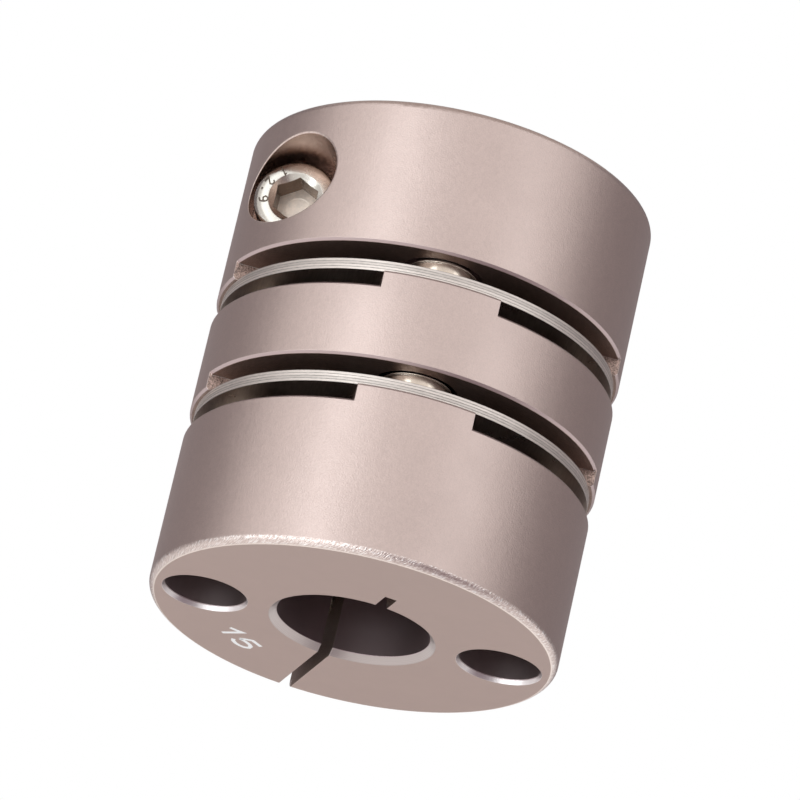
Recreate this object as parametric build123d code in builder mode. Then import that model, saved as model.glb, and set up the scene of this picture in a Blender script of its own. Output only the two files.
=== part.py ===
"""Double disc coupling: two clamping hubs, two disc packs and a centre spacer.

The coupling stands on the end face of its lower hub, with its axis along +Z. All sizes are in
millimetres. The upper half is the lower half turned end for end, so each piece is made once by a
function and placed from the end face of its own hub.
"""

import os
from math import radians, tan

from build123d import *

os.makedirs("parts", exist_ok=True)

# ---------------------------------------------------------------- driving dimensions

# Coupling body
outer_diameter = 40.0
bore_diameter = 15.0
hub_length = 17.0  # end face to the top of the pads
spacer_length = 10.76  # between the two disc packs
spacer_bore = 17.0
end_round_height = 0.82  # rounded rim of each end face, up the side
end_round_width = 0.62  # and across the face, which cuts the round short
bore_chamfer = 0.65
rim_chamfer = 0.25  # edges that face a disc pack

# Pads that carry the disc packs, and the reliefs between them
pad_width = 11.4
hub_pad_height = 1.7
spacer_pad_height = 1.6
screw_inset = 5.5  # from the body's outside to the pack screws

# Disc packs
sheet_thickness = 0.28
sheet_count = 4
sheet_inset = 0.5  # from the body's outside to the rim of a sheet
sheet_bore = 18.0

# Clamping slit, with the relief notch opposite
slit_width = 1.2
slit_turn = 12.5  # from the middle of the nearest pad
notch_reach = 10.8  # from the axis to the notch's bottom

# Clamp screw, across the slit
clamp_thread = 5.0
clamp_length = 16.0
clamp_head_diameter = 8.2
clamp_head_height = 5.0
clamp_head_round = 0.55
clamp_hex = 4.0
clamp_hex_depth = 2.8
clamp_inset = 6.75  # from the body's outside to the screw's axis
clamp_height = 7.75  # from the end face to the screw's axis
clamp_seat = 5.3  # from the slit's middle to the seat of the head
pocket_chamfer = 0.15  # broken edge where the pocket opens on the side

# Pack screws and their collar washers
pack_thread = 3.0
pack_length = 8.0
pack_head_diameter = 5.5
pack_head_height = 3.0
pack_head_chamfer = 0.3
pack_hex = 2.5
pack_hex_depth = 1.3
washer_diameter = 6.9
washer_thickness = 1.8
washer_chamfer = 0.2

# Clearances
thread_clearance = 0.05  # round a screw in its tapped hole
shank_clearance = 0.25  # round the clamp screw on the head side
sheet_clearance = 0.1  # round a pack screw, in the sheets and washers
pocket_clearance = 0.53  # round the clamp screw's head
access_clearance = 0.55  # round a washer, in the access holes and head pockets
head_clearance = 0.4  # above a pack screw's head, in the spacer
tip_clearance = 0.3  # below a pack screw's tip, in a hub
access_chamfer = 0.5  # depth of the steep chamfer of each access hole
access_chamfer_angle = 22.0  # from the axis of the hole

# ---------------------------------------------------------------- derived places

outer_radius = outer_diameter / 2
bore_radius = bore_diameter / 2
end_radius = (end_round_width**2 + end_round_height**2) / (2 * end_round_width)
pack_height = sheet_thickness * sheet_count
pack_top = hub_length + pack_height
total_length = 2 * pack_top + spacer_length

screw_radius = outer_radius - screw_inset
access_diameter = washer_diameter + 2 * access_clearance
access_mouth = access_diameter + 2 * access_chamfer * tan(radians(access_chamfer_angle))
tapped_diameter = pack_thread + 2 * thread_clearance
thread_engaged = pack_length - washer_thickness - pack_height
head_pocket_depth = washer_thickness + pack_head_height + head_clearance

clamp_reach = outer_radius - clamp_inset
slit_angle = 90 + slit_turn  # the hubs' pads lie at 90 and 270 degrees
clamp_angle = slit_turn  # the clamp screw's head looks this way, square to the slit


def from_below(height):
    """Plane across the axis that looks up, with its X along the coupling's X."""
    return Plane(origin=(0, 0, height), x_dir=(1, 0, 0), z_dir=(0, 0, 1))


def from_above(height):
    """Plane across the axis that looks down, turned a quarter so that both halves match."""
    return Plane(origin=(0, 0, height), x_dir=(0, -1, 0), z_dir=(0, 0, -1))


def section_plane(end):
    """Plane through the axis: its X runs outwards and its Y along the axis, from end."""
    return Plane(origin=end.origin, x_dir=end.x_dir, z_dir=end.x_dir.cross(end.z_dir))


def rim_edges(part, end, height):
    """Outer edges of a part at one height above end, left by the reliefs between the pads."""
    level = end.offset(height)
    rim = part.edges().filter_by(GeomType.CIRCLE).filter_by(lambda edge: edge.radius > outer_radius - 0.01)
    return rim.filter_by(lambda edge: abs(level.to_local_coords(edge.center()).Z) < 0.01)


def finish(piece, name):
    """Label a finished piece and write its STEP file."""
    piece.part.label = name
    export_step(piece.part, f"parts/{name}.step")


# ---------------------------------------------------------------- hubs


def make_hub(end, name):
    """One clamping hub. end is the plane of its end face and looks into the coupling."""
    with BuildPart() as hub:
        # Turned blank: rounded outer rim, chamfered bore
        with BuildSketch(section_plane(end)):
            with BuildLine():
                Polyline(
                    (bore_radius, bore_chamfer),
                    (bore_radius, hub_length),
                    (outer_radius, hub_length),
                    (outer_radius, end_round_height),
                )
                RadiusArc((outer_radius, end_round_height), (outer_radius - end_round_width, 0), end_radius)
                Polyline(
                    (outer_radius - end_round_width, 0),
                    (bore_radius + bore_chamfer, 0),
                    (bore_radius, bore_chamfer),
                )
            make_face()
        revolve(axis=Axis(end.origin, end.z_dir))

        # Reliefs that leave two pads standing
        with BuildSketch(end.offset(hub_length)):
            Circle(outer_radius)
            Rectangle(pad_width, outer_diameter, mode=Mode.SUBTRACT)
        extrude(amount=-hub_pad_height, mode=Mode.SUBTRACT)
        chamfer(rim_edges(hub, end, hub_length), rim_chamfer)
        chamfer(rim_edges(hub, end, hub_length - hub_pad_height), rim_chamfer)

        # Access holes for the screws of the spacer's side, with chamfered mouths
        with BuildSketch(end):
            with PolarLocations(screw_radius, 2):
                Circle(access_diameter / 2)
        extrude(amount=hub_length, mode=Mode.SUBTRACT)
        with BuildSketch(end):
            with PolarLocations(screw_radius, 2):
                Circle(access_mouth / 2)
        extrude(amount=access_chamfer, taper=access_chamfer_angle, mode=Mode.SUBTRACT)

        # Tapped holes in the pads
        with BuildSketch(end.offset(hub_length)):
            with PolarLocations(screw_radius, 2, start_angle=90):
                Circle(tapped_diameter / 2)
        extrude(amount=-(thread_engaged + tip_clearance), mode=Mode.SUBTRACT)

        # Clamping slit and the relief notch opposite
        with BuildSketch(end):
            Rectangle(outer_diameter, slit_width, rotation=slit_angle, align=(Align.MIN, Align.CENTER))
            Rectangle(notch_reach, slit_width, rotation=slit_angle, align=(Align.MAX, Align.CENTER))
        extrude(amount=hub_length, mode=Mode.SUBTRACT)

        # Pocket, clearance hole and tapped hole of the clamp screw
        middle = clamp_plane(end)
        with BuildSketch(middle.offset(clamp_seat)):
            Circle(clamp_head_diameter / 2 + pocket_clearance)
        extrude(amount=outer_radius, mode=Mode.SUBTRACT)
        pocket_mouth = hub.edges(Select.LAST).filter_by(GeomType.BSPLINE)
        chamfer(pocket_mouth, pocket_chamfer)
        with BuildSketch(middle):
            Circle(clamp_thread / 2 + shank_clearance)
        extrude(amount=clamp_seat, mode=Mode.SUBTRACT)
        with BuildSketch(middle):
            Circle(clamp_thread / 2 + thread_clearance)
        extrude(amount=-outer_radius, mode=Mode.SUBTRACT)
    finish(hub, name)


def clamp_plane(end):
    """Middle plane of the slit at the clamp screw, looking towards the screw's head."""
    seat = Plane.XY.rotated((0, 0, slit_angle)).offset(clamp_height)
    seat = seat.location * Location((clamp_reach, 0, 0), (90, 0, 0))
    return Plane(end.location * seat)


# ---------------------------------------------------------------- spacer


def make_spacer(name):
    """Centre spacer, made alike from both of its faces."""
    faces = (from_below(pack_top), from_above(total_length - pack_top))
    with BuildPart() as spacer:
        with BuildSketch(faces[0]):
            Circle(outer_radius)
            Circle(spacer_bore / 2, mode=Mode.SUBTRACT)
        extrude(amount=spacer_length)
        for face in faces:
            # Reliefs that leave two pads standing
            with BuildSketch(face):
                Circle(outer_radius)
                Rectangle(outer_diameter, pad_width, mode=Mode.SUBTRACT)
            extrude(amount=spacer_pad_height, mode=Mode.SUBTRACT)
            chamfer(rim_edges(spacer, face, 0), rim_chamfer)
            chamfer(rim_edges(spacer, face, spacer_pad_height), rim_chamfer)
        for face in faces:
            # Pockets for the heads of the hub's screws, and tapped holes through the pads
            with BuildSketch(face):
                with PolarLocations(screw_radius, 2, start_angle=90):
                    Circle(access_diameter / 2)
            extrude(amount=head_pocket_depth, mode=Mode.SUBTRACT)
            with BuildSketch(face):
                with PolarLocations(screw_radius, 2):
                    Circle(tapped_diameter / 2)
            extrude(amount=spacer_length, mode=Mode.SUBTRACT)
    finish(spacer, name)


# ---------------------------------------------------------------- disc packs


def make_sheet(lower_face, name):
    """One spring steel sheet of a disc pack."""
    with BuildPart() as sheet:
        with BuildSketch(lower_face):
            Circle(outer_radius - sheet_inset)
            Circle(sheet_bore / 2, mode=Mode.SUBTRACT)
            with PolarLocations(screw_radius, 4):
                Circle(pack_thread / 2 + sheet_clearance, mode=Mode.SUBTRACT)
        extrude(amount=sheet_thickness)
    finish(sheet, name)


# ---------------------------------------------------------------- fasteners


def make_cap_screw(seat, thread, length, head, height, break_edge, edge_size, hex_size, hex_depth, name):
    """Socket head cap screw. seat is the plane under its head and looks towards the head.

    break_edge is fillet or chamfer, used with edge_size on the head's top edge.
    """
    with BuildPart() as screw:
        with BuildSketch(seat):
            Circle(head / 2)
        extrude(amount=height)
        break_edge(screw.faces().sort_by(Axis(seat.origin, seat.z_dir))[-1].edges(), edge_size)
        with BuildSketch(seat.offset(height)):
            RegularPolygon(hex_size / 2, 6, major_radius=False)
        extrude(amount=-hex_depth, mode=Mode.SUBTRACT)
        with BuildSketch(seat):
            Circle(thread / 2)
        extrude(amount=-length)
    finish(screw, name)


def make_washer(seat, name):
    """Collar washer. seat is its face on the pack and looks towards the screw's head."""
    with BuildPart() as washer:
        with BuildSketch(seat):
            Circle(washer_diameter / 2)
        extrude(amount=washer_thickness)
        chamfer(washer.faces().sort_by(Axis(seat.origin, seat.z_dir))[-1].edges(), washer_chamfer)
        with BuildSketch(seat):
            Circle(pack_thread / 2 + sheet_clearance)
        extrude(amount=washer_thickness, mode=Mode.SUBTRACT)
    finish(washer, name)


def make_pack_fastener(seat, screw_name, washer_name):
    """Collar washer on the pack at seat, and the screw whose head sits on it."""
    make_washer(seat, washer_name)
    make_cap_screw(
        seat.offset(washer_thickness),
        pack_thread,
        pack_length,
        pack_head_diameter,
        pack_head_height,
        chamfer,
        pack_head_chamfer,
        pack_hex,
        pack_hex_depth,
        screw_name,
    )


def make_clamp_screw(end, name):
    """Clamp screw, seated in its pocket."""
    make_cap_screw(
        clamp_plane(end).offset(clamp_seat),
        clamp_thread,
        clamp_length,
        clamp_head_diameter,
        clamp_head_height,
        fillet,
        clamp_head_round,
        clamp_hex,
        clamp_hex_depth,
        name,
    )


# ---------------------------------------------------------------- assembly

for half, end in (("lower", from_below(0)), ("upper", from_above(total_length))):
    make_hub(end, f"{half}_hub")
    make_clamp_screw(end, f"{half}_clamp_screw")
    for number in range(sheet_count):
        sheet_face = end.offset(hub_length + number * sheet_thickness)
        make_sheet(sheet_face, f"{half}_disc_{number + 1}")
    for number, side in enumerate((1, -1), start=1):
        # Into the hub's pad, with the head in the spacer's pocket
        on_spacer_side = Plane(end.location * Location((0, side * screw_radius, pack_top)))
        make_pack_fastener(on_spacer_side, f"{half}_hub_screw_{number}", f"{half}_hub_washer_{number}")
        # Into the spacer's pad, with the head in the hub's access hole
        on_hub_side = Plane(end.location * Location((side * screw_radius, 0, hub_length), (180, 0, 0)))
        make_pack_fastener(on_hub_side, f"{half}_spacer_screw_{number}", f"{half}_spacer_washer_{number}")

make_spacer("centre_spacer")
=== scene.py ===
"""Disc coupling: surface finishes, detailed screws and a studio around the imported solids.

All lengths are in metres and all angles in radians. The coupling stands on the end face of its
lower hub, with its axis along +Z.
"""

import math

import bmesh
import bpy
from mathutils import Matrix, Vector


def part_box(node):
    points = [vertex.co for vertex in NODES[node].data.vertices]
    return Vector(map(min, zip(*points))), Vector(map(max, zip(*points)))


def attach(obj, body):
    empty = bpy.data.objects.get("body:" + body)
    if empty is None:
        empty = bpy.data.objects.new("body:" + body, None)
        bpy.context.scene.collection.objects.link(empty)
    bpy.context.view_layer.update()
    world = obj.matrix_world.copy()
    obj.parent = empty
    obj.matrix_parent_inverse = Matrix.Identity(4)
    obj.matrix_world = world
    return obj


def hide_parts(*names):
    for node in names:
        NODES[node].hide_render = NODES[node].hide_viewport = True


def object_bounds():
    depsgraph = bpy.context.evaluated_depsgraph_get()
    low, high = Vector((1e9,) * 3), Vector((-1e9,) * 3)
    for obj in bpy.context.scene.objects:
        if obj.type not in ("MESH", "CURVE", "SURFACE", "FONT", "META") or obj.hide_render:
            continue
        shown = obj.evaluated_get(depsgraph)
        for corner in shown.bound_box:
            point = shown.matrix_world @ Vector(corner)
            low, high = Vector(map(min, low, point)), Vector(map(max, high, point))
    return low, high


bl_info = {
    "name": "Disc coupling finishes",
    "version": (1, 0, 0),
    "blender": (4, 5, 0),
    "location": "View3D > Sidebar > Coupling",
    "description": "Finishes, screws and studio for a double disc coupling",
    "category": "Object",
}

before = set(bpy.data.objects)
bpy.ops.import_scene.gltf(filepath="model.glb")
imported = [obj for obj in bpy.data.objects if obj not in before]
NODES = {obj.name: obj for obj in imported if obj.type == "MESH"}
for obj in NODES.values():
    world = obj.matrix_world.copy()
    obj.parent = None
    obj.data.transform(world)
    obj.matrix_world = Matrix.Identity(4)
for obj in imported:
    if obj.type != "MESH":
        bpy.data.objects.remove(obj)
CAD_BOX = [list(corner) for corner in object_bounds()]

MM = 0.001
HAIR = 0.01 * MM  # Zones of finish reach one or more of these past their faces
HALVES = ("lower", "upper")
TOTAL_LENGTH = CAD_BOX[1][2]
MIDDLE = Vector((0, 0, TOTAL_LENGTH / 2))

# The M5 clamp screw: whole widths and lengths
CLAMP = {
    "thread": 5.0 * MM,
    "pitch": 0.8 * MM,
    "shank": 16.0 * MM,
    "head": 8.2 * MM,
    "height": 5.0 * MM,
    "corner": 0.8 * MM,
    "crown": 0.05 * MM,
    "hexagon": 4.0 * MM,
    "mouth": 5.3 * MM,
    "depth": 2.8 * MM,
}


# ---- sizes and colours


def length(name, description, millimetres):
    """A length that a user may change."""
    return bpy.props.FloatProperty(
        name=name, description=description, default=millimetres * MM, min=0.0, unit="LENGTH", precision=5
    )


def angle(name, description, degrees):
    """An angle that a user may change."""
    return bpy.props.FloatProperty(
        name=name, description=description, default=math.radians(degrees), subtype="ANGLE"
    )


def colour(name, coloured, default):
    """A colour that a user may change."""
    return bpy.props.FloatVectorProperty(
        name=name,
        description=f"Colour of {coloured}",
        default=default,
        subtype="COLOR",
        size=3,
        min=0.0,
        max=1.0,
    )


def amount(name, description, default, highest=1.0):
    """A plain number that a user may change."""
    return bpy.props.FloatProperty(
        name=name, description=description, default=default, min=0.0, max=highest
    )


class CouplingSizes(bpy.types.PropertyGroup):
    """Sizes of the detailed pieces and of the finished zones, as the solids have them"""

    outer_radius: length("Outer radius", "Radius of the hubs and the spacer", 20.0)
    hub_length: length("Hub length", "From the end face to the disc pack", 17.0)
    end_round_height: length("End round height", "Rounded rim of each end face, up the side", 0.82)
    end_round_width: length("End round width", "Rounded rim of each end face, across it", 0.62)
    rim_chamfer: length("Rim chamfer", "Chamfer of the edges that face a disc pack", 0.25)
    relief_reach: length("Relief reach", "From a disc pack to where the reliefs' finish starts", 2.0)
    bore_radius: length("Bore radius", "Radius of the hubs' bores", 7.5)
    bore_chamfer: length("Bore chamfer", "Width of the turned chamfer of each bore", 0.65)
    screw_circle: length("Screw circle", "Radius of the circle of pack screws", 14.5)
    access_radius: length("Access radius", "Radius of the access holes of the pack screws", 4.0)
    access_chamfer: length("Access chamfer", "Depth of the mouths of the access holes", 0.5)
    access_lip: length("Access lip", "Width of the mouths of the access holes", 0.2)
    slit_turn: angle("Slit turn", "Angle from a hub's pads to its clamping slit", 12.5)
    slit_width: length("Slit width", "Width of the clamping slit", 1.2)
    notch_reach: length("Notch reach", "From the axis to the bottom of the relief notch", 10.8)
    clamp_reach: length("Clamp reach", "From the coupling's axis to a clamp screw's", 13.25)
    clamp_height: length("Clamp height", "From the end face to a clamp screw's axis", 7.75)
    clamp_seat: length("Clamp seat", "From the slit's middle to the seat of the head", 5.3)
    pocket_radius: length("Pocket radius", "Radius of the pocket of a clamp screw", 4.63)
    pocket_chamfer: length("Pocket chamfer", "Broken edge of the pocket of a clamp screw", 0.15)
    sheet_radius: length("Sheet radius", "Outer radius of the sheets", 19.5)
    sheet_thickness: length("Sheet thickness", "Thickness of one sheet of a disc pack", 0.28)
    mark_radius: length("Mark radius", "From the axis to the middle of the bore mark", 13.5)
    mark_turn: angle("Mark turn", "Place of the bore mark round the end face", 136.0)
    mark_stroke: length("Mark stroke", "Width of the strokes of the bore mark", 0.42)


class CouplingFinish(bpy.types.PropertyGroup):
    """Colours and surface textures"""

    anodised: colour("Anodised", "the anodised hubs and spacer", (0.60, 0.472, 0.434))
    anodised_roughness: amount("Anodised roughness", "Roughness of the blasted surface", 0.385)
    grain_size: length("Grain size", "Size of the blasted grain", 0.14)
    # Painted shade: the reliefs, the pads' flanks and the slit are darker than the body
    relief: colour("Relief", "the milled reliefs that face the discs", (0.30, 0.215, 0.185))
    flank: colour("Flank", "the milled flanks of the pads", (0.30, 0.215, 0.185))
    slit: colour("Slit", "the sawn slit and notch", (0.34, 0.25, 0.21))
    # Painted shade: the pockets are darker than the body
    pocket: colour("Pocket", "the pockets of the clamp screws", (0.50, 0.355, 0.30))
    # Painted highlight on the broken edges of the pockets
    pocket_edge_highlight: colour("Pocket edge", "the broken edges of the pockets", (0.86, 0.72, 0.65))
    # Painted shade: the access holes and the bore are darker inside
    access: colour("Access hole", "the insides of the access holes", (0.47, 0.385, 0.385))
    bore: colour("Bore", "the turned bores", (0.42, 0.33, 0.335))
    # The rim is lighter than the body, partly its own sparkling finish and partly painted highlight
    rim: colour("Rim", "the sparkling rounded rim", (0.76, 0.615, 0.565))
    # Painted highlight: the bright line where the rim meets the face
    rim_line: colour("Rim line", "the fine line between rim and face", (0.94, 0.82, 0.75))
    # Painted highlight: the colour that edges, rim grains and pad edges are lightened to
    painted_glint: colour("Glint", "the brightest grains", (0.98, 0.92, 0.89))
    access_lip: colour("Access lip", "the mouths of the access holes", (0.78, 0.715, 0.71))
    # Painted shade: the chamfers that face a disc pack are darkened against their bright reflection
    gap_edge: colour("Gap edge", "the chamfers that face a disc pack", (0.54, 0.42, 0.41))
    bare_metal: colour("Bare metal", "turned edges", (0.53, 0.455, 0.435))
    sheet_steel: colour("Sheet steel", "the spring steel sheets", (0.70, 0.63, 0.585))
    stainless: colour("Stainless", "the clamp screws", (0.565, 0.52, 0.47))
    # Painted shade: the raised figures are painted dark, standing in for their shadows
    stamp_shade: colour("Stamp", "the figures stamped on the clamp screws", (0.13, 0.098, 0.078))
    # Painted shade on the walls of the sockets, and a painted highlight on their floors
    socket: colour("Socket", "the walls of the screws' sockets", (0.15, 0.108, 0.08))
    socket_floor_highlight: colour("Socket floor", "the bottoms of the sockets", (0.92, 0.79, 0.69))
    pack_steel: colour("Pack steel", "the pack screws", (0.45, 0.41, 0.38))
    washer_steel: colour("Washer steel", "the collar washers", (0.76, 0.64, 0.54))
    # Edges of the steel pieces and the sheets are lightened to these, partly as wear and partly as
    # painted highlight
    steel_edge_wear_and_highlight: colour("Worn steel", "the screws' and collars' edges", (0.95, 0.93, 0.90))
    sheet_edge_wear_and_highlight: colour("Worn sheet", "the sheets' edges", (0.92, 0.90, 0.88))
    mark: colour("Mark", "the bore mark", (0.97, 0.96, 0.96))


class CouplingStudio(bpy.types.PropertyGroup):
    """Camera, lamps, screens and floor"""

    azimuth: angle("Azimuth", "Turn of the camera round the coupling", -3.1)
    elevation: angle("Elevation", "Height of the camera above the coupling's middle", -22.97)
    roll: angle("Roll", "Lean of the picture", 13.02)
    distance: length("Distance", "From the camera to the coupling's middle", 643.6)
    focal_length: amount("Focal length", "Camera lens in millimetres", 298.94, 1000.0)
    aim_left: length("Aim left", "How far left of the coupling's middle the camera aims", 0.282)
    aim_up: length("Aim up", "How far above the coupling's middle the camera aims", 0.927)
    left_lamp: amount("Left lamp", "Brightness of the left lamp", 1.45, 20.0)
    right_lamp: amount("Right lamp", "Brightness of the right lamp", 0.68, 20.0)
    rim_lamp: amount("Rim lamp", "Brightness of the small low lamp", 4.0, 20.0)
    lamp_tint: colour("Lamp tint", "the lamps", (0.86, 0.96, 1.0))
    screen: colour("Screens", "the screens at the sides and behind the crown", (0.27, 0.245, 0.255))
    back_screen: colour("Back screen", "the screen behind", (0.56, 0.505, 0.48))
    rim_card: colour("Rim card", "the low card that darkens the rim", (0.25, 0.195, 0.22))
    top_card: colour("Top card", "the card overhead", (0.54, 0.49, 0.465))
    floor: colour("Floor", "the floor", (0.86, 0.86, 0.86))


SETTINGS = {
    "coupling_sizes": CouplingSizes,
    "coupling_finish": CouplingFinish,
    "coupling_studio": CouplingStudio,
}


def settings():
    """The scene's sizes, finish and studio."""
    return [getattr(bpy.context.scene, key) for key in SETTINGS]


# ---- node helpers


class Wiring:
    """Adds nodes to one node tree and links them."""

    def __init__(self, tree):
        self.tree = tree

    def add(self, kind, **settings):
        node = self.tree.nodes.new(kind)
        for key, value in settings.items():
            setattr(node, key, value)
        return node

    def feed(self, socket, value):
        """Links value if it is a socket, and otherwise sets it. Colours are given as three numbers."""
        if isinstance(value, bpy.types.NodeSocket):
            self.tree.links.new(value, socket)
        elif value is not None:
            socket.default_value = (*value, 1.0) if socket.type == "RGBA" else value

    def fill(self, node, *values, **named):
        """Feeds a node's first inputs, and then those named, with underscores for spaces."""
        for socket, value in zip(node.inputs, values):
            self.feed(socket, value)
        for key, value in named.items():
            self.feed(node.inputs[key.replace("_", " ")], value)
        return node

    def math(self, operation, *values):
        return self.fill(self.add("ShaderNodeMath", operation=operation), *values).outputs[0]

    def chain(self, operation, first, *others):
        """Takes values through one operation, from left to right."""
        for other in others:
            first = self.math(operation, first, other)
        return first

    def times(self, *values):
        return self.chain("MULTIPLY", *values)

    def both(self, *masks):
        """Where all the masks are."""
        return self.times(*masks)

    def plus(self, *values):
        return self.chain("ADD", *values)

    def minus(self, first, second):
        return self.math("SUBTRACT", first, second)

    def ratio(self, first, second):
        return self.math("DIVIDE", first, second)

    def line(self, value, factor, offset):
        """value * factor + offset"""
        return self.math("MULTIPLY_ADD", value, factor, offset)

    def most(self, *values):
        return self.chain("MAXIMUM", *values)

    def least(self, first, second):
        return self.math("MINIMUM", first, second)

    def absolute(self, value):
        return self.math("ABSOLUTE", value)

    def distance(self, x, y):
        """Distance from the line where x and y are zero."""
        return self.math("SQRT", self.plus(self.times(x, x), self.times(y, y)))

    def under(self, value, limit):
        return self.math("LESS_THAN", value, limit)

    def over(self, value, limit):
        return self.math("GREATER_THAN", value, limit)

    def but(self, mask, *others):
        """Where the mask is and none of the others."""
        return self.times(mask, *(self.minus(1.0, other) for other in others))

    def mix_colour(self, factor, first, second):
        node = self.add("ShaderNodeMix", data_type="RGBA")
        for number, value in ((0, factor), (6, first), (7, second)):
            self.feed(node.inputs[number], value)
        return node.outputs[2]

    def scaled(self, colour, share):
        """A colour times a plain number."""
        node = self.add("ShaderNodeVectorMath", operation="SCALE")
        return self.fill(node, colour, Scale=share).outputs[0]

    def spread(self, value, low, high, new_low=0.0, new_high=1.0, smooth=False):
        """Maps low..high of value to new_low..new_high, and stops there."""
        kind = "SMOOTHSTEP" if smooth else "LINEAR"
        node = self.add("ShaderNodeMapRange", clamp=True, interpolation_type=kind)
        return self.fill(node, value, low, high, new_low, new_high).outputs[0]

    def noise(self, place, scale, detail=2.0, roughness=0.5):
        node = self.add("ShaderNodeTexNoise")
        self.fill(node, Vector=place, Scale=scale, Detail=detail, Roughness=roughness)
        return node.outputs["Fac"]

    def join(self, x, y, z):
        return self.fill(self.add("ShaderNodeCombineXYZ"), x, y, z).outputs[0]

    def split(self, vector):
        return self.fill(self.add("ShaderNodeSeparateXYZ"), vector).outputs

    def stretch(self, place, scale):
        """Scales a place, so that a texture runs along one direction."""
        return self.fill(self.add("ShaderNodeMapping"), Vector=place, Scale=scale).outputs["Vector"]

    def place(self):
        """Where a point is on its piece."""
        return self.add("ShaderNodeTexCoord").outputs["Object"]

    def slope(self):
        """How far a surface faces along its piece's Z axis: 0 on a wall, 1 on a flat."""
        return self.absolute(self.split(self.add("ShaderNodeTexCoord").outputs["Normal"])[2])

    def bump(self, height, distance, normal=None):
        node = self.add("ShaderNodeBump")
        self.fill(node, Strength=1.0, Distance=distance, Height=height, Normal=normal)
        return node.outputs["Normal"]

    def group(self, build, **values):
        """Places the node group that build makes, once for all the materials, and feeds its inputs."""
        tree = bpy.data.node_groups.get(build.__name__) or build(build.__name__)
        return self.fill(self.add("ShaderNodeGroup", node_tree=tree), **values).outputs


def shade(rgb, share):
    """A darker or lighter tone of a colour."""
    return [channel * share for channel in rgb]


# ---- shared effects


def add_sockets(tree, in_out, kinds):
    """Gives a node group one socket for each key, with spaces for underscores."""
    return [
        tree.interface.new_socket(key.replace("_", " "), in_out=in_out, socket_type=f"NodeSocket{kind}")
        for key, kind in kinds.items()
    ]


def new_group(name, **inputs):
    """The wiring of a new node group, and its inputs, which are plain numbers with these defaults."""
    tree = bpy.data.node_groups.new(name, "ShaderNodeTree")
    sockets = add_sockets(tree, "INPUT", dict.fromkeys(inputs, "Float"))
    for socket, default in zip(sockets, inputs.values()):
        socket.default_value = default
    w = Wiring(tree)
    return w, w.add("NodeGroupInput").outputs


def end_group(w, **results):
    """Gives a node group its outputs, and returns it."""
    kinds = {key: "Vector" if value.type == "VECTOR" else "Float" for key, value in results.items()}
    add_sockets(w.tree, "OUTPUT", kinds)
    w.fill(w.add("NodeGroupOutput"), **results)
    return w.tree


def blasted_grain(name):
    """Pebbled skin of a bead blasted surface."""
    w, start = new_group(name, Grain_Size=0.14 * MM)
    scale = w.ratio(1.0, start["Grain Size"])
    fine = w.noise(w.place(), scale, 1.0)
    coarse = w.noise(w.place(), w.times(scale, 0.3), 1.0)
    height = w.line(coarse, 0.5, fine)
    return end_group(w, Height=w.minus(height, 0.75), Speckle=w.spread(height, 0.55, 0.95))


def rounded_edge(name):
    """Where an edge is, and the normal that its slight rounding gives."""
    w, start = new_group(name, Width=0.06 * MM)
    rounded = w.fill(w.add("ShaderNodeBevel", samples=6), Radius=start["Width"]).outputs["Normal"]
    true = w.add("ShaderNodeNewGeometry").outputs["Normal"]
    facing = w.fill(w.add("ShaderNodeVectorMath", operation="DOT_PRODUCT"), rounded, true)
    return end_group(w, Edge=w.spread(facing.outputs["Value"], 0.99, 0.80), Normal=rounded)


def handling(name):
    """Slow changes of tone that handling and anodising leave."""
    w, start = new_group(name, Patch_Size=4 * MM)
    patches = w.noise(w.place(), w.ratio(1.0, start["Patch Size"]), 4.0, 0.6)
    return end_group(w, Patches=w.spread(patches, 0.3, 0.7))


def turned_rings(name):
    """Fine tool marks in rings, by the distance from an axis."""
    w, start = new_group(name, Radius=0.0, Pitch=0.05 * MM)
    row = w.add("ShaderNodeTexNoise", noise_dimensions="1D")
    w.fill(row, W=w.ratio(start["Radius"], start["Pitch"]), Scale=1.0, Detail=2.0)
    return end_group(w, Rings=w.minus(row.outputs["Fac"], 0.5))


def around_streaks(name):
    """Streaks on a body turned about the Z axis: how long round it, and how wide across."""
    w, start = new_group(name, Long=1.0 * MM, Wide=0.1 * MM)
    x, y, z = w.split(w.place())
    radius = w.distance(x, y)
    around = w.ratio(w.times(w.math("ARCTAN2", y, x), radius), start["Long"])
    place = w.join(around, w.ratio(z, start["Wide"]), w.ratio(radius, start["Wide"]))
    return end_group(w, Streaks=w.minus(w.noise(place, 1.0), 0.5))


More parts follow.
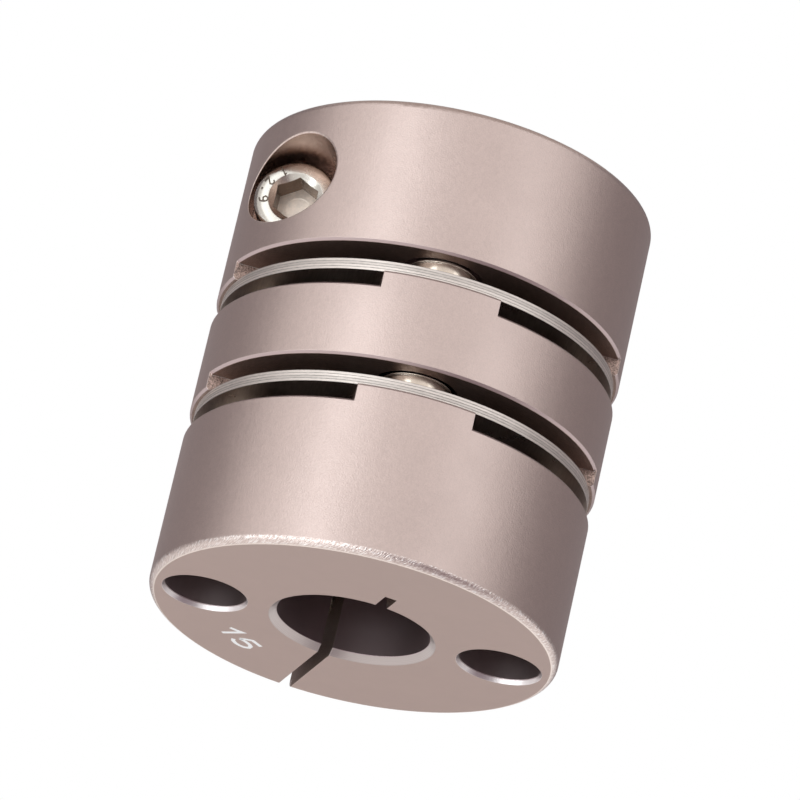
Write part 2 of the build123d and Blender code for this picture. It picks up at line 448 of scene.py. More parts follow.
def coupling_zones(name):
    """Masks of the machined zones, from a point's place in the hub that is nearest."""
    sizes = settings()[0]
    w, _ = new_group(name)

    # The upper hub is the lower one turned end for end, with X and Y swapped and reversed
    x, y, z = w.split(w.place())
    swap = w.times(w.over(z, TOTAL_LENGTH / 2), w.times(w.plus(x, y), -1.0))
    x, y = w.plus(x, swap), w.plus(y, swap)
    height = w.least(z, w.minus(TOTAL_LENGTH, z))
    radius = w.distance(x, y)

    in_hub = w.under(height, sizes.hub_length + HAIR)
    side = w.over(radius, sizes.outer_radius - 1.5 * HAIR)
    near_side = w.over(radius, sizes.outer_radius - 1.5 * MM)
    bore = w.both(w.under(radius, sizes.bore_radius + 3 * HAIR), in_hub)
    chamfer_radius = sizes.bore_radius + sizes.bore_chamfer + HAIR
    chamfer = w.both(w.under(radius, chamfer_radius), w.under(height, sizes.bore_chamfer + HAIR))

    from_screw = w.distance(w.minus(w.absolute(x), sizes.screw_circle), y)
    access = w.both(w.under(from_screw, sizes.access_radius + 3 * HAIR), in_hub)
    lip_radius = sizes.access_radius + sizes.access_lip + HAIR
    lip = w.both(w.under(from_screw, lip_radius), w.under(height, sizes.access_chamfer + HAIR))

    # Along the slit, and square to it towards the clamp screw's head
    cos, sin = math.cos(sizes.slit_turn), math.sin(sizes.slit_turn)
    along = w.line(y, cos, w.times(x, -sin))
    across = w.line(y, sin, w.times(x, cos))
    sawn = w.under(w.absolute(across), sizes.slit_width / 2 + HAIR)
    cut = w.most(w.over(along, 0.0), w.under(radius, sizes.notch_reach + 5 * HAIR))
    from_clamp = w.distance(w.minus(along, sizes.clamp_reach), w.minus(height, sizes.clamp_height))
    headward = w.over(across, sizes.clamp_seat - 10 * HAIR)
    pocket = w.both(w.under(from_clamp, sizes.pocket_radius + 3 * HAIR), headward)
    mouth = w.under(from_clamp, sizes.pocket_radius + sizes.pocket_chamfer + 4 * HAIR)

    inner = sizes.outer_radius - sizes.rim_chamfer + 2 * HAIR
    past_relief = w.over(height, sizes.hub_length - sizes.relief_reach)
    sloping = w.over(w.slope(), 0.3)

    # The rounded rim, and the fine line where it meets the end face
    face_radius = sizes.outer_radius - sizes.end_round_width
    top = sizes.end_round_height
    rim = w.both(
        w.spread(radius, face_radius - HAIR, face_radius + HAIR),
        w.spread(height, top - 4 * HAIR, top - 16 * HAIR),
    )
    rim_line = w.both(
        w.spread(radius, face_radius - 3 * HAIR, face_radius),
        w.spread(radius, face_radius + 16 * HAIR, face_radius + 8 * HAIR),
        w.under(height, top),
    )
    return end_group(
        w,
        Radius=radius,
        Side=side,
        Bore=bore,
        Bore_Chamfer=w.but(chamfer, bore),
        Access=access,
        Access_Lip=w.but(lip, access),
        Slit=w.both(sawn, cut, in_hub),
        Pocket=pocket,
        Pocket_Edge=w.but(w.both(mouth, headward, near_side), pocket, side),
        Relief=w.but(w.both(w.under(radius, inner), past_relief), bore),
        Flank=w.but(past_relief, bore, side, sloping),
        Gap_Edge=w.but(w.both(w.over(radius, inner), past_relief, sloping), side),
        Rim=rim,
        Rim_Line=rim_line,
    )


# ---- materials


def new_material(name):
    """A material with its wiring and its Principled shader."""
    material = bpy.data.materials.new(name)
    material.use_nodes = True
    shader = next(n for n in material.node_tree.nodes if n.type == "BSDF_PRINCIPLED")
    return material, Wiring(material.node_tree), shader


def anodised_material(name, finish):
    """Blasted and anodised aluminium, with bare turned chamfers, painted shade in the machined hollows
    and painted highlights.
    """
    material, w, shader = new_material(name)
    zone = w.group(coupling_zones)
    grain = w.group(blasted_grain, Grain_Size=finish.grain_size)
    edge = w.group(rounded_edge, Width=0.07 * MM)
    patches = w.group(handling, Patch_Size=7 * MM)["Patches"]
    rings = w.group(turned_rings, Radius=zone["Radius"], Pitch=0.05 * MM)["Rings"]
    glitter = w.group(around_streaks, Long=0.13 * MM, Wide=0.3 * MM)["Streaks"]
    milled = w.group(around_streaks, Long=0.6 * MM, Wide=0.05 * MM)["Streaks"]

    skin = w.mix_colour(patches, finish.anodised, shade(finish.anodised, 0.95))
    lively = w.both(grain["Speckle"], w.line(zone["Side"], 0.8, 0.2))
    skin = w.mix_colour(lively, w.scaled(skin, 0.95), w.scaled(skin, 1.05))
    # Painted highlight: every edge is lightened a little towards the glint colour
    skin = w.mix_colour(w.times(edge["Edge"], 0.35), skin, finish.painted_glint)
    # Painted highlight: the rim at the end that the coupling stands on is painted brighter, and its
    # grains glint more
    standing = w.under(w.split(w.place())[2], TOTAL_LENGTH / 2)
    rim_stronger_below = w.both(zone["Rim"], w.line(standing, 0.65, 0.35))
    painted_sparkle = w.both(w.spread(glitter, 0.0, 0.18), w.line(standing, 0.8, 0.2))
    rim = w.scaled(finish.rim, w.spread(glitter, -0.25, 0.05, 0.7, 1.0))
    streaked = w.spread(milled, -0.2, 0.2, 0.75, 1.25)
    mottled = w.spread(grain["Height"], -0.2, 0.2, 0.5, 1.9)
    pack_side = w.most(zone["Flank"], zone["Gap Edge"])
    for mask, layer in (
        # Painted shade: the reliefs that face a disc pack are darkened, with their milled streaks
        (zone["Relief"], w.scaled(finish.relief, streaked)),
        # Painted shade: the pads' flanks are darkened and mottled
        (zone["Flank"], w.scaled(finish.flank, mottled)),
        # Painted shade: the pockets are darkened
        (zone["Pocket"], w.scaled(finish.pocket, w.spread(patches, 0.0, 1.0, 1.1, 0.85))),
        # Painted highlight: glinting grains on the pockets' broken edges
        (w.both(zone["Pocket Edge"], w.spread(glitter, -0.08, 0.1)), finish.pocket_edge_highlight),
        # Painted shade: the insides of the access holes
        (zone["Access"], finish.access),
        # Painted shade: the inside of the bore
        (zone["Bore"], finish.bore),
        # Painted shade: the slit and notch are darkened, with their sawn streaks
        (zone["Slit"], w.scaled(finish.slit, streaked)),
        (zone["Bore Chamfer"], w.scaled(finish.bare_metal, w.spread(rings, -0.2, 0.2, 0.85, 1.0))),
        (zone["Access Lip"], finish.access_lip),
        # Painted shade: the chamfers that face a disc pack
        (zone["Gap Edge"], finish.gap_edge),
        # Painted highlight: the lighter rim and its glinting grains, strongest on the lower end
        (rim_stronger_below, w.mix_colour(painted_sparkle, rim, finish.painted_glint)),
        # Painted highlight: the bright line where the rim meets the face
        (zone["Rim Line"], finish.rim_line),
        # Painted highlight on the edges of the pads' flanks and of the chamfers that face a pack
        (w.both(pack_side, edge["Edge"]), finish.painted_glint),
    ):
        skin = w.mix_colour(mask, skin, layer)

    turned = w.most(zone["Bore Chamfer"], zone["Access Lip"])
    hollow = w.most(zone["Relief"], zone["Slit"])
    drilled = w.most(zone["Access"], zone["Bore"])
    rough = w.line(patches, 0.04, finish.anodised_roughness)
    for mask, change in (
        (grain["Speckle"], 0.05),
        (turned, -0.10),
        (zone["Rim"], -0.12),
        (zone["Pocket"], -0.19),
        (drilled, -0.05),
    ):
        rough = w.line(mask, change, rough)

    # Heights in millimetres
    blasted = w.most(zone["Side"], zone["Pocket"], zone["Flank"])
    height = w.but(w.times(grain["Height"], w.line(blasted, 0.019, 0.002)), turned, hollow)
    for marks, mask, depth in ((rings, turned, 0.01), (milled, hollow, 0.02), (glitter, rim_stronger_below, 0.07)):
        height = w.plus(height, w.times(marks, mask, depth))
    normal = w.bump(height, MM, edge["Normal"])
    w.fill(shader, Base_Color=skin, Roughness=rough, Normal=normal, Metallic=1.0)
    coat = w.line(w.most(hollow, drilled, zone["Pocket"]), -0.4, 0.45)
    w.fill(shader, Coat_Weight=coat, Coat_Roughness=0.35)
    return material


def sheet_material(name, sizes, finish):
    """Rolled spring steel, with dark joints, streaks along the sheared edges and painted shade on the
    flat faces.
    """
    material, w, shader = new_material(name)
    x, y, z = w.split(w.place())
    rim = w.over(w.distance(x, y), sizes.sheet_radius - HAIR)
    from_hub = w.minus(w.least(z, w.minus(TOTAL_LENGTH, z)), sizes.hub_length)
    sheets = w.ratio(from_hub, sizes.sheet_thickness)
    level = w.math("FRACT", sheets)
    to_joint = w.least(level, w.minus(1.0, level))
    long_streaks = w.group(around_streaks, Long=2.5 * MM, Wide=0.07 * MM)["Streaks"]
    short_streaks = w.group(around_streaks, Long=0.5 * MM, Wide=0.10 * MM)["Streaks"]
    streaks = w.line(short_streaks, 0.6, long_streaks)
    rolled = w.minus(w.noise(w.stretch(w.place(), (6000.0, 400.0, 6000.0)), 1.0, 3.0), 0.5)
    edge = w.group(rounded_edge, Width=0.04 * MM)
    patches = w.group(handling, Patch_Size=4 * MM)["Patches"]

    ragged = w.line(short_streaks, 0.15, to_joint)
    joint = w.both(rim, w.spread(ragged, 0.17, 0.03), w.spread(patches, 0.0, 0.8, 0.6, 1.0))
    grainy = w.line(rim, w.minus(streaks, rolled), rolled)
    # Each sheet has a tone of its own
    sheet = w.fill(w.add("ShaderNodeTexWhiteNoise", noise_dimensions="1D"), W=w.math("FLOOR", sheets))
    tone = w.line(sheet.outputs["Value"], 0.22, -0.11)
    tone = w.line(tone, rim, w.spread(grainy, -0.3, 0.3, 0.84, 1.14))
    # Painted shade: the sheets' flat faces, between the hubs, are darkened
    flat = w.line(w.over(w.slope(), 0.5), -0.2, 1.0)
    skin = w.scaled(finish.sheet_steel, w.times(tone, flat))
    skin = w.mix_colour(w.times(joint, 0.85), skin, shade(finish.sheet_steel, 0.25))
    # Edges lightened, partly as wear and partly as painted highlight
    skin = w.mix_colour(w.times(edge["Edge"], 0.3), skin, finish.sheet_edge_wear_and_highlight)
    rough = w.line(rim, 0.18, w.line(patches, 0.08, 0.26))
    height = w.line(joint, -0.012, w.times(grainy, w.line(rim, 0.02, 0.003)))
    normal = w.bump(height, MM, edge["Normal"])
    w.fill(shader, Base_Color=skin, Roughness=rough, Normal=normal, Metallic=1.0)
    return material


def steel_material(name, tint, roughness, edge_wear_and_highlight, radius_of=Wiring.distance, edge_width=0.06 * MM):
    """Turned steel, with rings round the axis that radius_of measures from."""
    material, w, shader = new_material(name)
    x, y, _ = w.split(w.place())
    rings = w.group(turned_rings, Radius=radius_of(w, x, y), Pitch=0.04 * MM)["Rings"]
    edge = w.group(rounded_edge, Width=edge_width)
    patches = w.group(handling, Patch_Size=1.2 * MM)["Patches"]
    skin = w.mix_colour(patches, shade(tint, 0.82), tint)
    # Edges lightened, partly as wear and partly as painted highlight
    skin = w.mix_colour(w.times(edge["Edge"], 0.3), skin, edge_wear_and_highlight)
    rough = w.line(rings, 0.12, roughness)
    normal = w.bump(rings, 0.002 * MM, edge["Normal"])
    w.fill(shader, Base_Color=skin, Roughness=rough, Normal=normal, Metallic=1.0)
    return material


def clamp_screw_material(name, finish):
    """Stainless steel, with painted shade on the walls of the socket and a painted highlight on its
    floor. The head stands on z = 0.
    """
    material, w, shader = new_material(name)
    x, y, z = w.split(w.place())
    radius = w.distance(x, y)
    mouth = w.both(w.under(radius, CLAMP["mouth"] / 2 + 3 * HAIR), w.over(z, 0.0))
    wall = w.both(mouth, w.under(w.slope(), 0.3))
    floor = w.both(mouth, w.under(z, CLAMP["height"] - CLAMP["depth"] + 3 * HAIR))
    rings = w.group(turned_rings, Radius=radius, Pitch=0.08 * MM)["Rings"]
    edge = w.group(rounded_edge, Width=0.06 * MM)
    patches = w.group(handling, Patch_Size=0.8 * MM)["Patches"]
    skin = w.mix_colour(patches, shade(finish.stainless, 0.92), shade(finish.stainless, 1.04))
    tarnish = w.spread(patches, 0.0, 1.0, 0.8, 1.15)
    # Painted highlight: the floor of the socket is painted light
    skin = w.mix_colour(floor, skin, w.scaled(finish.socket_floor_highlight, tarnish))
    # Painted shade: the walls of the socket are painted dark
    skin = w.mix_colour(wall, skin, w.scaled(finish.socket, tarnish))
    # Edges lightened, partly as wear and partly as painted highlight
    skin = w.mix_colour(w.times(edge["Edge"], 0.3), skin, finish.steel_edge_wear_and_highlight)
    rough = w.line(floor, 0.3, w.line(patches, 0.10, 0.20))
    height = w.line(rings, 0.002, w.times(patches, 0.006))
    normal = w.bump(height, MM, edge["Normal"])
    w.fill(shader, Base_Color=skin, Roughness=rough, Normal=normal, Metallic=1.0)
    return material


def mark_material(name, finish):
    """Pale oxide that a marking laser leaves, in fine hatch lines."""
    material, w, shader = new_material(name)
    hatch = w.noise(w.stretch(w.place(), (12000.0, 1500.0, 1500.0)), 1.0, 1.0)
    skin = w.mix_colour(hatch, shade(finish.mark, 0.85), finish.mark)
    rough = w.spread(hatch, 0.3, 0.7, 0.55, 0.75)
    w.fill(shader, Base_Color=skin, Roughness=rough, Normal=w.bump(hatch, 0.002 * MM))
    return material


def dress(node_names, material):
    """Gives CAD nodes their finish."""
    for name in node_names:
        node = NODES[name]
        node.data.materials.clear()
        node.data.materials.append(material)


# ---- meshes and places


def finished_mesh(name, shape):
    """Turns a shape that is done into a mesh."""
    mesh = bpy.data.meshes.new(name)
    shape.to_mesh(mesh)
    shape.free()
    return mesh


def bridge(shape, rows, closed):
    """Adds the faces between rows of corners, which are rings if closed."""
    for row, following in zip(rows, rows[1:]):
        for step in range(len(row) if closed else len(row) - 1):
            after = (step + 1) % len(row)
            shape.faces.new((row[step], row[after], following[after], following[step]))


def add_object(name, data):
    """Puts a new object in the scene."""
    added = bpy.data.objects.new(name, data)
    bpy.context.scene.collection.objects.link(added)
    return added


def bearing(azimuth, elevation):
    """Direction from the coupling, with azimuth zero towards -Y."""
    return Vector(
        (
            math.sin(azimuth) * math.cos(elevation),
            -math.cos(azimuth) * math.cos(elevation),
            math.sin(elevation),
        )
    )


def half_frame(half):
    """From the frame of a hub's end face to the row frame. The upper half is turned end for end."""
    if half == "lower":
        return Matrix.Identity(4)
    return Matrix(((0, -1, 0, 0), (-1, 0, 0, 0), (0, 0, -1, TOTAL_LENGTH), (0, 0, 0, 1)))


def axes_frame(x_axis, y_axis, z_axis, origin):
    """Matrix whose columns are three directions and a place."""
    turned = Matrix((x_axis, y_axis, z_axis)).transposed().to_4x4()
    return Matrix.Translation(origin) @ turned


def clamp_frame(half, sizes):
    """Frame under a clamp screw's head: Z towards the head, X along the slit."""
    to_head = Vector((math.cos(sizes.slit_turn), math.sin(sizes.slit_turn), 0))
    outward = Vector((-to_head.y, to_head.x, 0))
    seat = outward * sizes.clamp_reach + to_head * sizes.clamp_seat + Vector((0, 0, sizes.clamp_height))
    return half_frame(half) @ axes_frame(outward, Vector((0, 0, 1)), to_head, seat)


def check_fit(piece, node_name):
    """Stops the script where a detailed piece isn't where its solid is."""
    slack = 2 * MM
    low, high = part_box(node_name)
    corners = [piece.matrix_world @ Vector(corner) for corner in piece.bound_box]
    for axis in range(3):
        span = [corner[axis] for corner in corners]
        if max(span) < high[axis] - slack or min(span) > low[axis] + slack:
            raise ValueError(f"{piece.name} is away from {node_name}")


def place_piece(name, mesh, material, matrix, node_name=None):
    """Puts a finished mesh in the scene on the coupling, in the place of a CAD node if one is named."""
    piece = add_object(name, mesh)
    piece.matrix_world = matrix
    piece.data.materials.append(material)
    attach(piece, "root")
    if node_name:
        bpy.context.view_layer.update()
        check_fit(piece, node_name)
        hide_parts(node_name)


# ---- screws and collars

ROUND = 96  # Corners round a turned piece


def ring_points(radius_at, height_at):
    """Points round the Z axis, with radius and height by the angle."""
    points = []
    for step in range(ROUND):
        turn = math.tau * step / ROUND
        radius = radius_at(turn)
        points.append((radius * math.cos(turn), radius * math.sin(turn), height_at(turn)))
    return points


def round_ring(radius, level):
    return ring_points(lambda turn: radius, lambda turn: level)


def lathe(name, rings, sharp, tips=None):
    """A closed mesh through rings of points. It ends in two tips, or goes round to its first ring."""
    shape = bmesh.new()
    rows = [[shape.verts.new(point) for point in ring] for ring in rings]
    bridge(shape, rows if tips else [*rows, rows[0]], closed=True)
    for tip, row, outward in zip(tips or (), (rows[0], rows[-1]), (False, True)):
        point = shape.verts.new(tip)
        for step in range(len(row)):
            corners = (row[step], row[(step + 1) % len(row)], point)
            shape.faces.new(corners if outward else corners[::-1])
    bmesh.ops.recalc_face_normals(shape, faces=shape.faces)
    for face in shape.faces:
        face.smooth = True
    for edge in shape.edges:
        edge.smooth = edge.calc_face_angle(0.0) < sharp
    return finished_mesh(name, shape)


def crown_level(radius):
    """Height of the slightly domed top of a clamp screw's head at a distance from its axis."""
    start = CLAMP["mouth"] / 2
    share = (radius - start) / (CLAMP["head"] / 2 - CLAMP["corner"] - start)
    return CLAMP["height"] - CLAMP["crown"] * min(1.0, max(0.0, share)) ** 2


def screw_mesh(name, thread, pitch, shank, head, height, corner, crown, hexagon, mouth, depth):
    """Socket head cap screw whose head stands on z = 0. All sizes are whole widths and lengths."""
    flat = hexagon / 2
    drill = 0.62 * flat
    bottom = height - depth
    thread_depth = 0.58 * pitch
    broken = 0.12 * MM
    neck = 0.15 * MM

    def hex_radius(turn):
        # Corners lie at 30 degrees and every 60 degrees on
        return flat / math.cos((turn + math.radians(30)) % math.radians(60) - math.radians(30))

    def countersink(turn):
        return height - (mouth / 2 - hex_radius(turn)) * math.tan(math.radians(32))

    rings = [
        round_ring(0.5 * drill, bottom - 0.045 * drill),
        round_ring(drill, bottom - 0.025 * drill),
        round_ring(drill + 0.04 * MM, bottom),
        ring_points(hex_radius, lambda turn: bottom),
        ring_points(hex_radius, countersink),
        round_ring(mouth / 2, height),
    ]
    crown_width = head / 2 - corner - mouth / 2
    for step in range(1, 5):
        radius = mouth / 2 + crown_width * step / 4
        rings.append(round_ring(radius, crown_level(radius)))
    lean = math.atan(2 * crown / crown_width)
    for step in range(1, 9):
        bend = lean + (math.radians(90) - lean) * step / 8
        out = corner * (math.sin(bend) - math.sin(lean)) / (1 - math.sin(lean))
        down = crown + corner * (math.cos(lean) - math.cos(bend))
        rings.append(round_ring(head / 2 - corner + out, height - down))
    rings.append(round_ring(head / 2, broken))
    rings.append(round_ring(head / 2 - broken, 0.0))
    rings.append(round_ring(thread / 2 + neck, 0.0))
    rings.append(round_ring(thread / 2, -neck))

    def thread_ring(level):
        def radius_at(turn):
            phase = (level / pitch + turn / math.tau) % 1.0
            groove = min(1.0, max(0.0, 1.25 - abs(phase - 0.5) * 4.0))
            fade = min(1.0, max(0.0, (-level - 1.2 * pitch) / pitch))
            chamfer = max(0.0, 0.6 * pitch - (shank + level))
            return thread / 2 - max(groove * fade * thread_depth, chamfer)

        return ring_points(radius_at, lambda turn: level)

    start = 0.2 * MM
    rows = round(shank / pitch * 8)
    for row in range(1, rows + 1):
        rings.append(thread_ring(-start - (shank - start) * row / rows))
    tips = ((0, 0, bottom - 0.06 * drill), (0, 0, -shank))
    return lathe(name, rings, math.radians(26), tips)


def collar_mesh(name, radius, thickness, hole):
    """Collar washer that stands on z = 0, with a fine bead round its free face."""
    bead = 0.13 * MM
    body = radius - 0.8 * bead
    profile = [
        (hole, 0.0),
        (body - 0.16 * MM, 0.0),
        (body - 0.06 * MM, 0.5 * thickness),
        (body, thickness - 2.1 * bead),
    ]
    for step in range(8):
        bend = math.radians(-60 + 150 * step / 7)
        profile.append((radius - bead + bead * math.cos(bend), thickness - bead + bead * math.sin(bend)))
    profile.append((hole, thickness))
    return lathe(name, [round_ring(*point) for point in profile], math.radians(30))


# ---- lettering

# Strokes of the strength grade on a clamp screw's head, in millimetres, each with its place round
# the head in degrees
GRADE = (
    (-57, ((-0.14, 0.22), (0.03, 0.4), (0.03, -0.4))),
    (-26, ((-0.24, 0.22), (-0.1, 0.39), (0.14, 0.37), (0.22, 0.17), (-0.24, -0.38), (0.27, -0.4))),
    (-8, ((-0.09, -0.3), (0.09, -0.3))),
    (12, ((-0.16, -0.38), (0.12, -0.3), (0.24, 0.05), (0.16, 0.34), (-0.08, 0.4), (-0.25, 0.22),
         (-0.16, 0.0), (0.08, -0.02), (0.22, 0.12))),
)
GRADE_RING = 3.12
GRADE_WIDE, GRADE_TALL = 1.15, 1.12

# Strokes of the digits one and five, in millimetres from the middle of the mark
ONE = ((-1.62, -1.2), (-1.27, 1.05), (-1.84, 0.73), (-2.5, 0.46))
FIVE_TOP = ((2.03, 0.84), (0.64, 0.89), (0.24, 0.35), (0.0, -0.22))
FIVE_BOWL = (
    (0.0, -0.22), (0.69, -0.06), (1.36, -0.07), (1.84, -0.26), (2.1, -0.71), (1.89, -1.12),
    (1.43, -1.35), (0.88, -1.42), (0.3, -1.29), (-0.1, -0.95),
)


def ring_glyph(degrees, line):
    """Lays a digit's stroke round a screw's head, with its top towards the axis."""
    turn = math.radians(degrees)
    right = Vector((-math.sin(turn), math.cos(turn)))
    outward = Vector((math.cos(turn), math.sin(turn)))
    return [outward * (GRADE_RING - GRADE_TALL * y) + right * GRADE_WIDE * x for x, y in line]


def stroke_mesh(name, lines, width, lift, level=None):
    """Raised strokes along lines of points in one plane, or on a face whose level goes by radius."""
    sunk = 0.03 * MM
    shape = bmesh.new()
    for line in lines:
        points = [Vector((x, y)) * MM for x, y in line]
        rows = []
        for number, point in enumerate(points):
            before = points[max(number - 1, 0)]
            after = points[min(number + 1, len(points) - 1)]
            ways = [way.normalized() for way in (point - before, after - point) if way.length]
            along = sum(ways, Vector((0, 0))).normalized()
            side = Vector((-along.y, along.x))
            # Strokes keep their width round a bend, unless it is very sharp
            reach = width / 2 / max(0.45, along.dot(ways[0]))
            left, right = point + side * reach, point - side * reach
            base = [level(p.length) - sunk if level else 0.0 for p in (left, right)]
            top = [level(p.length) + lift if level else lift for p in (left, right)]
            corners = ((left, base[0]), (left, top[0]), (right, top[1]), (right, base[1]))
            rows.append([shape.verts.new((p.x, p.y, z)) for p, z in corners])
        bridge(shape, rows, closed=True)
        shape.faces.new(rows[0])
        shape.faces.new(rows[-1][::-1])
    bmesh.ops.recalc_face_normals(shape, faces=shape.faces)
    return finished_mesh(name, shape)


# ---- operators


class FinishHubs(bpy.types.Operator):
    """Blasts and anodises both hubs"""

    bl_idname = "coupling.finish_hubs"
    bl_label = "Finish Hubs"

    def execute(self, context):
        material = anodised_material("anodised_hub", settings()[1])
        dress([f"{half}_hub" for half in HALVES], material)
        return {"FINISHED"}


class FinishSpacer(bpy.types.Operator):
    """Blasts and anodises the centre spacer"""

    bl_idname = "coupling.finish_spacer"
    bl_label = "Finish Spacer"

    def execute(self, context):
        material = anodised_material("anodised_spacer_skin", settings()[1])
        dress(["centre_spacer"], material)
        return {"FINISHED"}


class FinishDiscPacks(bpy.types.Operator):
    """Gives the sheets of both disc packs their rolled steel finish"""

    bl_idname = "coupling.finish_disc_packs"
    bl_label = "Finish Disc Packs"

    def execute(self, context):
        sizes, finish, _ = settings()
        material = sheet_material("rolled_spring_steel", sizes, finish)
        dress(sorted(name for name in NODES if "_disc_" in name), material)
        return {"FINISHED"}


def from_nearest_screw(w, x, y):
    """Distance from the axis of the nearest pack screw."""
    across, along = w.absolute(x), w.absolute(y)
    reach = w.minus(w.most(across, along), settings()[0].screw_circle)
    return w.distance(reach, w.least(across, along))


class FinishPackScrews(bpy.types.Operator):
    """Finishes the pack screws"""

    bl_idname = "coupling.finish_pack_screws"
    bl_label = "Finish Pack Screws"

    def execute(self, context):
        finish = settings()[1]
        material = steel_material(
            "pack_screw_skin", finish.pack_steel, 0.3, finish.steel_edge_wear_and_highlight, from_nearest_screw
        )
        dress(sorted(name for name in NODES if "_screw_" in name), material)
        return {"FINISHED"}


class BuildCollars(bpy.types.Operator):
    """Builds the beaded collar washers under the heads of the pack screws"""

    bl_idname = "coupling.build_collars"
    bl_label = "Build Collars"

    def execute(self, context):
        finish = settings()[1]
        material = steel_material(
            "collar_washer_skin", finish.washer_steel, 0.18, finish.steel_edge_wear_and_highlight, edge_width=0.05 * MM
        )
        for node_name in sorted(name for name in NODES if "_washer_" in name):
            low, high = (Vector(corner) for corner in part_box(node_name))
            mesh = collar_mesh(node_name, (high.x - low.x) / 2, high.z - low.z, 1.6 * MM)
            # A collar's free face looks away from its disc pack
            faces_up = node_name.startswith("lower") == ("_hub_" in node_name)
            up = 1 if faces_up else -1
            foot = (low + high) / 2
            foot.z = low.z if faces_up else high.z
            matrix = axes_frame(Vector((1, 0, 0)), Vector((0, up, 0)), Vector((0, 0, up)), foot)
            name = node_name.replace("washer", "collar")
            place_piece(name, mesh, material, matrix, node_name)
        return {"FINISHED"}


class BuildClampScrews(bpy.types.Operator):
    """Builds the threaded clamp screws of both hubs"""

    bl_idname = "coupling.build_clamp_screws"
    bl_label = "Build Clamp Screws"

    def execute(self, context):
        sizes, finish, _ = settings()
        material = clamp_screw_material("stainless_clamp_screw", finish)
        mesh = screw_mesh("clamp_cap_screw", **CLAMP)
        lines = [ring_glyph(*glyph) for glyph in GRADE]
        grade = stroke_mesh("clamp_screw_grade", lines, 0.15 * MM, 0.02 * MM, crown_level)
        # Painted shade: the raised figures are painted dark
        stamped = steel_material("stamp_shade_steel", finish.stamp_shade, 0.4, finish.steel_edge_wear_and_highlight)
        for half in HALVES:
            matrix = clamp_frame(half, sizes)
            node_name = f"{half}_clamp_screw"
            place_piece(f"{half}_clamp_cap_screw", mesh.copy(), material, matrix, node_name)
            place_piece(f"{half}_clamp_screw_grade", grade.copy(), stamped, matrix)
        return {"FINISHED"}


class BuildBoreMark(bpy.types.Operator):
    """Marks the bore's size in millimetres on the lower end face"""

    bl_idname = "coupling.build_bore_mark"
    bl_label = "Build Bore Mark"

    def execute(self, context):
        sizes, finish, _ = settings()
        mesh = stroke_mesh("bore_number", (ONE, FIVE_TOP, FIVE_BOWL), sizes.mark_stroke, 0.008 * MM)
        outward = Vector((math.cos(sizes.mark_turn), math.sin(sizes.mark_turn), 0))
        reading = Vector((outward.y, -outward.x, 0))
        matrix = axes_frame(reading, -outward, Vector((0, 0, -1)), outward * sizes.mark_radius)
        material = mark_material("laser_mark", finish)
        place_piece("bore_number", mesh, material, matrix)
        return {"FINISHED"}


# ---- studio

# Names, from and to azimuths and elevations in degrees from the camera's side, and the setting
# that holds the colour
SCREENS = (
    ("right_screen", (74, 165), (-8, 75), "screen"),
    ("left_screen", (-82, -165), (-8, 75), "screen"),
    ("top_card", (-180, 180), (52, 90), "top_card"),
    ("back_screen", (165, 195), (-47, 10), "back_screen"),
    ("crown_screen", (150, 210), (10, 52), "screen"),
    ("rim_card", (8, 80), (-80, -8), "rim_card"),
)
SCREEN_DISTANCE = 350 * MM
SCREEN_STEPS = 24

# Names, which are the settings of their brightness too, azimuths and elevations likewise, and
# widths and heights
LAMPS = (
    ("left_lamp", -32, 17, 130 * MM, 300 * MM),
    ("right_lamp", 42, 17, 120 * MM, 300 * MM),
    ("rim_lamp", -40, -20, 420 * MM, 60 * MM),
)
LAMP_DISTANCE = 400 * MM


def toward(azimuth, elevation):
    """Direction from the coupling, by azimuth and elevation in degrees from the camera's side."""
    return bearing(math.radians(azimuth) + settings()[2].azimuth, math.radians(elevation))


def add_lamp(name, brightness, azimuth, elevation, width, tall, tint):
    """A soft panel that shines at the coupling's middle."""
    data = bpy.data.lights.new(name, "AREA")
    data.shape = "RECTANGLE"
    data.size, data.size_y = width, tall
    data.energy = brightness * math.pi * width * tall
    data.color = tint
    lamp = add_object(name, data)
    direction = toward(azimuth, elevation)
    lamp.location = MIDDLE + direction * LAMP_DISTANCE
    lamp.rotation_euler = direction.to_track_quat("Z", "Y").to_euler()
    lamp.visible_camera = False


def show_only(thing, seen_by):
    """Shows a piece of the studio to one kind of ray only, without a shadow."""
    for ray in ("camera", "glossy", "diffuse", "transmission", "shadow"):
        setattr(thing, f"visible_{ray}", ray == seen_by)


def emitting_material(name, tint):
    """Plain surface of a studio screen."""
    material = bpy.data.materials.new(name)
    material.use_nodes = True
    material.node_tree.nodes.clear()
    w = Wiring(material.node_tree)
    glow = w.fill(w.add("ShaderNodeEmission"), Color=tint)
    w.fill(w.add("ShaderNodeOutputMaterial"), Surface=glow.outputs[0])
    return material


def add_screen(name, azimuths, elevations, tint):
    """A curved screen round the coupling, which only shows in its gloss."""
    shape = bmesh.new()
    rows = []
    for rise in range(SCREEN_STEPS + 1):
        elevation = elevations[0] + (elevations[1] - elevations[0]) * rise / SCREEN_STEPS
        row = []
        for side in range(SCREEN_STEPS + 1):
            azimuth = azimuths[0] + (azimuths[1] - azimuths[0]) * side / SCREEN_STEPS
            row.append(shape.verts.new(MIDDLE + toward(azimuth, elevation) * SCREEN_DISTANCE))
        rows.append(row)
    bridge(shape, rows, closed=False)
    mesh = finished_mesh(name, shape)
    mesh.materials.append(emitting_material(name, tint))
    screen = add_object(name, mesh)
    show_only(screen, "glossy")


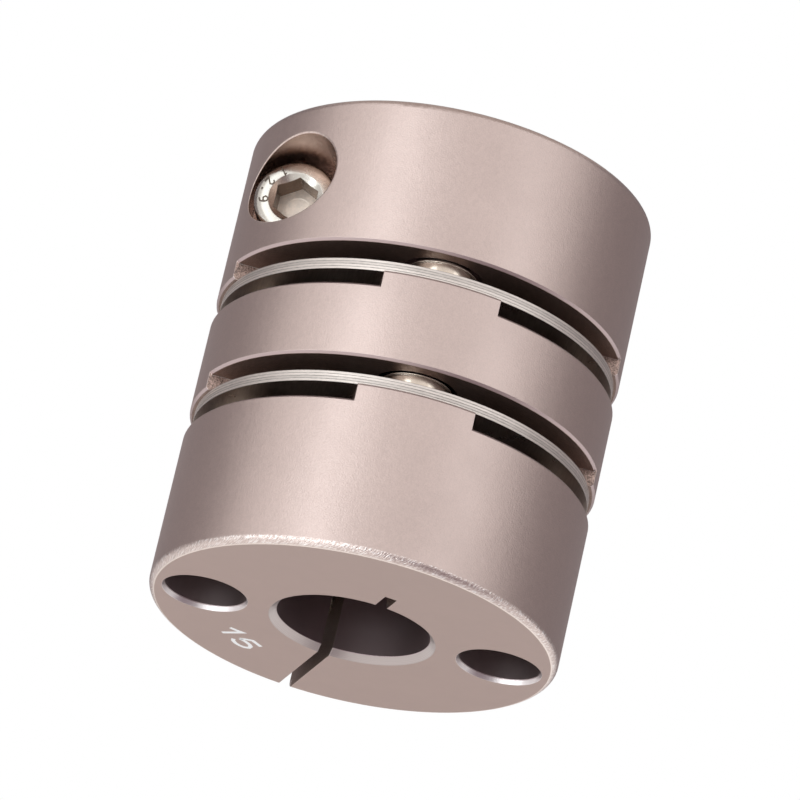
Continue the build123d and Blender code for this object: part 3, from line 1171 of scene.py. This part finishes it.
def add_floor(name, tint):
    """A plain pale floor, seen from above only, that fades into the background."""
    shape = bmesh.new()
    bmesh.ops.create_circle(shape, cap_ends=True, segments=96, radius=500 * MM)
    mesh = finished_mesh(name, shape)
    material, w, shader = new_material(name)
    mottle = w.noise(w.place(), 400.0, 3.0)
    skin = w.mix_colour(mottle, shade(tint, 0.98), tint)
    w.fill(shader, Base_Color=skin, Roughness=w.spread(mottle, 0.3, 0.7, 0.75, 0.85))
    clear = w.add("ShaderNodeBsdfTransparent")
    x, y, _ = w.split(w.place())
    fade = w.spread(w.distance(x, y), 50 * MM, 220 * MM, smooth=True)
    back = w.add("ShaderNodeNewGeometry").outputs["Backfacing"]
    mix = w.add("ShaderNodeMixShader")
    w.fill(mix, w.most(fade, back), shader.outputs[0], clear.outputs[0])
    output = next(n for n in material.node_tree.nodes if n.type == "OUTPUT_MATERIAL")
    w.fill(output, Surface=mix.outputs[0])
    mesh.materials.append(material)
    floor = add_object(name, mesh)
    floor.location.z = -0.3 * MM
    show_only(floor, "camera")


def white_world():
    """A white background for the camera and in gloss, and plain soft light from it."""
    world = bpy.data.worlds.new("studio")
    world.use_nodes = True
    w = Wiring(world.node_tree)
    path = w.add("ShaderNodeLightPath").outputs
    seen = w.most(path["Is Camera Ray"], path["Is Glossy Ray"], path["Is Transmission Ray"])
    strength = w.spread(seen, 0.0, 1.0, 0.85, 1.0)
    w.fill(world.node_tree.nodes["Background"], Color=(1, 1, 1), Strength=strength)
    bpy.context.scene.world = world


def add_camera(studio):
    """A long lens on the coupling's middle."""
    back = bearing(studio.azimuth, studio.elevation)
    level = Vector((math.cos(studio.azimuth), math.sin(studio.azimuth), 0))
    upright = back.cross(level)
    right = level * math.cos(studio.roll) + upright * math.sin(studio.roll)
    up = upright * math.cos(studio.roll) - level * math.sin(studio.roll)
    aim = MIDDLE - right * studio.aim_left + up * studio.aim_up
    data = bpy.data.cameras.new("camera")
    data.sensor_width = 36.0
    data.lens = studio.focal_length
    data.clip_start, data.clip_end = 0.05, 5.0
    camera = add_object("camera", data)
    camera.matrix_world = axes_frame(right, up, back, aim + back * studio.distance)
    bpy.context.scene.camera = camera


class SetStudio(bpy.types.Operator):
    """Sets up the floor, the light and the camera"""

    bl_idname = "coupling.set_studio"
    bl_label = "Set Studio"

    def execute(self, context):
        studio = settings()[2]
        context.scene.view_settings.view_transform = "Standard"
        white_world()
        add_floor("studio_floor", studio.floor)
        for name, azimuths, elevations, tint in SCREENS:
            add_screen(name, azimuths, elevations, getattr(studio, tint))
        for name, *panel in LAMPS:
            add_lamp(name, getattr(studio, name), *panel, studio.lamp_tint)
        add_camera(studio)
        return {"FINISHED"}


# ---- sidebar and registration

STEPS = (
    FinishHubs,
    FinishSpacer,
    FinishDiscPacks,
    FinishPackScrews,
    BuildCollars,
    BuildClampScrews,
    BuildBoreMark,
    SetStudio,
)


class CouplingPanel(bpy.types.Panel):
    """Lists the steps that dress the coupling"""

    bl_idname = "COUPLING_PT_steps"
    bl_label = "Disc Coupling"
    bl_space_type = "VIEW_3D"
    bl_region_type = "UI"
    bl_category = "Coupling"

    def draw(self, context):
        for step in STEPS:
            self.layout.operator(step.bl_idname)
        for group in settings():
            box = self.layout.box()
            for key in group.__annotations__:
                box.prop(group, key)


CLASSES = (*SETTINGS.values(), *STEPS, CouplingPanel)


def register():
    for kind in CLASSES:
        bpy.utils.register_class(kind)
    for key, kind in SETTINGS.items():
        setattr(bpy.types.Scene, key, bpy.props.PointerProperty(type=kind))


def unregister():
    for key in SETTINGS:
        delattr(bpy.types.Scene, key)
    for kind in reversed(CLASSES):
        bpy.utils.unregister_class(kind)


def main():
    register()
    for step in STEPS:
        group, action = step.bl_idname.split(".")
        getattr(getattr(bpy.ops, group), action)()


if __name__ == "__main__":
    main()
